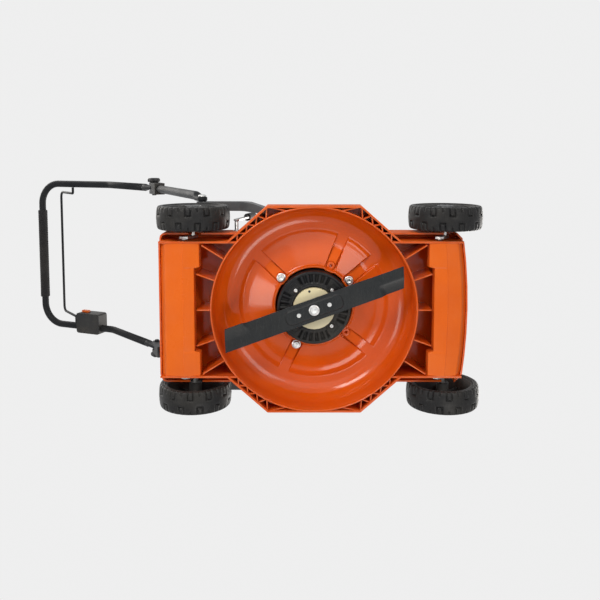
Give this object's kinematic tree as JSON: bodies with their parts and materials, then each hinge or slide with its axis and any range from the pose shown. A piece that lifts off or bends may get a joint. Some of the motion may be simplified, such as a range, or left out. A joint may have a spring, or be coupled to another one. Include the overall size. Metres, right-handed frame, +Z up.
{
  "type": "cordless lawn mower",
  "caption": "Walk-behind cordless mower with an orange ribbed cutting deck, a swing blade under an electric motor, treaded wheels and a folding looped handle.",
  "frame": {"origin": "centre of the bounding box in plan, on the ground plane under the wheels", "axes": "+Z up, -Y towards the mower's front, +Y towards the handle, +X towards the mower's left side"},
  "size_m": [0.543, 1.3094, 0.9712],
  "materials": {
    "deck_orange": "glossy moulded polypropylene",
    "cover_orange": "glossy moulded polypropylene",
    "hood_orange": "glossy moulded plastic",
    "accent_orange": "satin moulded plastic",
    "black_plastic": "fine grained moulded plastic",
    "motor_black": "semi-gloss black paint",
    "grey_plastic": "fine grained moulded plastic",
    "controller_aluminium": "cast aluminium",
    "tyre_rubber": "moulded tread, matt",
    "grip_foam": "foam rubber",
    "tube_paint": "dark grey powder coat",
    "zinc_steel": "zinc plated",
    "rotor_steel": "turned steel",
    "blade_steel": "dark grey paint, bare ground edges",
    "cream_metal": "cream plated sheet",
    "copper_windings": "varnished copper wire"
  },
  "bodies": {
    "deck_unit": {"axle_bush_front_left": "black_plastic", "axle_bush_front_right": "black_plastic", "axle_bush_rear_left": "black_plastic", "axle_bush_rear_right": "black_plastic", "carry_handle": "black_plastic", "controller": "controller_aluminium", "deck": "deck_orange", "front_axle_cover": "cover_orange", "handle_bracket_left": "black_plastic", "handle_bracket_right": "black_plastic", "hood": "hood_orange", "motor_bolt_1": "zinc_steel", "motor_bolt_2": "zinc_steel", "motor_bolt_3": "zinc_steel", "motor_end_cap": "cream_metal", "motor_housing": "motor_black", "motor_screw_1": "zinc_steel", "motor_screw_2": "zinc_steel", "motor_screw_3": "zinc_steel", "motor_screw_4": "zinc_steel", "pivot_bolt_left": "zinc_steel", "pivot_bolt_right": "zinc_steel", "rear_axle_cover": "cover_orange", "stator": "copper_windings"},
    "blade_unit": {"blade": "blade_steel", "blade_adapter": "zinc_steel", "blade_bolt": "zinc_steel", "motor_rotor": "rotor_steel", "cooling_fan": "black_plastic"},
    "rear_crank": {"rear_axle": "zinc_steel"},
    "front_crank": {"front_axle": "zinc_steel"},
    "lever": {"height_lever": "zinc_steel", "height_lever_grip": "black_plastic"},
    "lower_handle": {"lower_tube_left": "tube_paint", "lower_tube_right": "tube_paint", "fold_bracket_left": "black_plastic", "fold_bracket_right": "black_plastic"},
    "upper_handle": {"upper_loop": "tube_paint", "grip_sleeve": "grip_foam", "console": "black_plastic"},
    "knob_left": {"clamp_knob_left": "black_plastic"},
    "knob_right": {"clamp_knob_right": "black_plastic"},
    "bail": {"bail_lever": "tube_paint"},
    "button": {"start_button": "accent_orange"},
    "key": {"safety_key": "accent_orange"},
    "battery_pack": {"battery": "grey_plastic"},
    "release": {"battery_release": "accent_orange"},
    "rear_left_wheel": {"rear_left_tyre": "tyre_rubber", "rear_left_hub": "black_plastic", "rear_left_hub_cap": "grey_plastic"},
    "rear_right_wheel": {"rear_right_tyre": "tyre_rubber", "rear_right_hub": "black_plastic", "rear_right_hub_cap": "grey_plastic"},
    "front_left_wheel": {"front_left_tyre": "tyre_rubber", "front_left_hub": "black_plastic", "front_left_hub_cap": "grey_plastic"},
    "front_right_wheel": {"front_right_tyre": "tyre_rubber", "front_right_hub": "black_plastic", "front_right_hub_cap": "grey_plastic"}
  },
  "joints": [
    {"name": "blade_spin", "type": "hinge", "parent": "deck_unit", "child": "blade_unit", "pos_m": [0, -0.27634, 0.04982], "axis": [0, 0, 1], "continuous": true},
    {"name": "rear_height_crank", "type": "hinge", "parent": "deck_unit", "child": "rear_crank", "pos_m": [0, 0.01286, 0.05774], "axis": [1, 0, 0], "range_deg": [0, 110]},
    {"name": "front_height_crank", "type": "hinge", "parent": "deck_unit", "child": "front_crank", "pos_m": [0, -0.55514, 0.05774], "axis": [1, 0, 0], "range_deg": [0, 110]},
    {"name": "height_lever_swing", "type": "hinge", "parent": "deck_unit", "child": "lever", "pos_m": [-0.1939, -0.10034, 0.09982], "axis": [1, 0, 0], "range_deg": [0, 40]},
    {"name": "handle_fold", "type": "hinge", "parent": "deck_unit", "child": "lower_handle", "pos_m": [0, -0.01034, 0.19082], "axis": [1, 0, 0], "range_deg": [0, 110]},
    {"name": "upper_handle_fold", "type": "hinge", "parent": "lower_handle", "child": "upper_handle", "pos_m": [0, 0.19066, 0.60782], "axis": [1, 0, 0], "range_deg": [-100, 0]},
    {"name": "clamp_knob_left_turn", "type": "hinge", "parent": "lower_handle", "child": "knob_left", "pos_m": [0.2417, 0.19066, 0.60782], "axis": [1, 0, 0], "range_deg": [0, 360]},
    {"name": "clamp_knob_right_turn", "type": "hinge", "parent": "lower_handle", "child": "knob_right", "pos_m": [-0.2417, 0.19066, 0.60782], "axis": [-1, 0, 0], "range_deg": [0, 360]},
    {"name": "bail_squeeze", "type": "hinge", "parent": "upper_handle", "child": "bail", "pos_m": [0, 0.51874, 0.87299], "axis": [1, 0, 0], "range_deg": [-22, 0], "stiffness_Nm_per_rad": 0.6, "springref_deg": 22.92},
    {"name": "start_button_press", "type": "slide", "parent": "upper_handle", "child": "button", "axis": [0, 0.3745, -0.9272], "range_m": [0, 0.004], "stiffness_N_per_m": 500, "springref_m": -0.002},
    {"name": "safety_key_pull", "type": "slide", "parent": "upper_handle", "child": "key", "axis": [-1, 0, 0], "range_m": [0, 0.014]},
    {"name": "battery_lift", "type": "slide", "parent": "deck_unit", "child": "battery_pack", "axis": [0, 0, 1], "range_m": [0, 0.12]},
    {"name": "battery_release_press", "type": "slide", "parent": "battery_pack", "child": "release", "axis": [0, -1, 0], "range_m": [0, 0.0038], "stiffness_N_per_m": 600, "springref_m": -0.002},
    {"name": "rear_left_wheel_roll", "type": "hinge", "parent": "rear_crank", "child": "rear_left_wheel", "pos_m": [0.203, -0.00434, 0.08232], "axis": [1, 0, 0], "continuous": true},
    {"name": "rear_right_wheel_roll", "type": "hinge", "parent": "rear_crank", "child": "rear_right_wheel", "pos_m": [-0.203, -0.00434, 0.08232], "axis": [1, 0, 0], "continuous": true},
    {"name": "front_left_wheel_roll", "type": "hinge", "parent": "front_crank", "child": "front_left_wheel", "pos_m": [0.203, -0.57234, 0.08232], "axis": [1, 0, 0], "continuous": true},
    {"name": "front_right_wheel_roll", "type": "hinge", "parent": "front_crank", "child": "front_right_wheel", "pos_m": [-0.203, -0.57234, 0.08232], "axis": [1, 0, 0], "continuous": true}
  ],
  "couplings": [
    {"joint": "front_height_crank", "follows": "rear_height_crank", "ratio": 1},
    {"joint": "height_lever_swing", "follows": "rear_height_crank", "ratio": 0.3636}
  ]
}
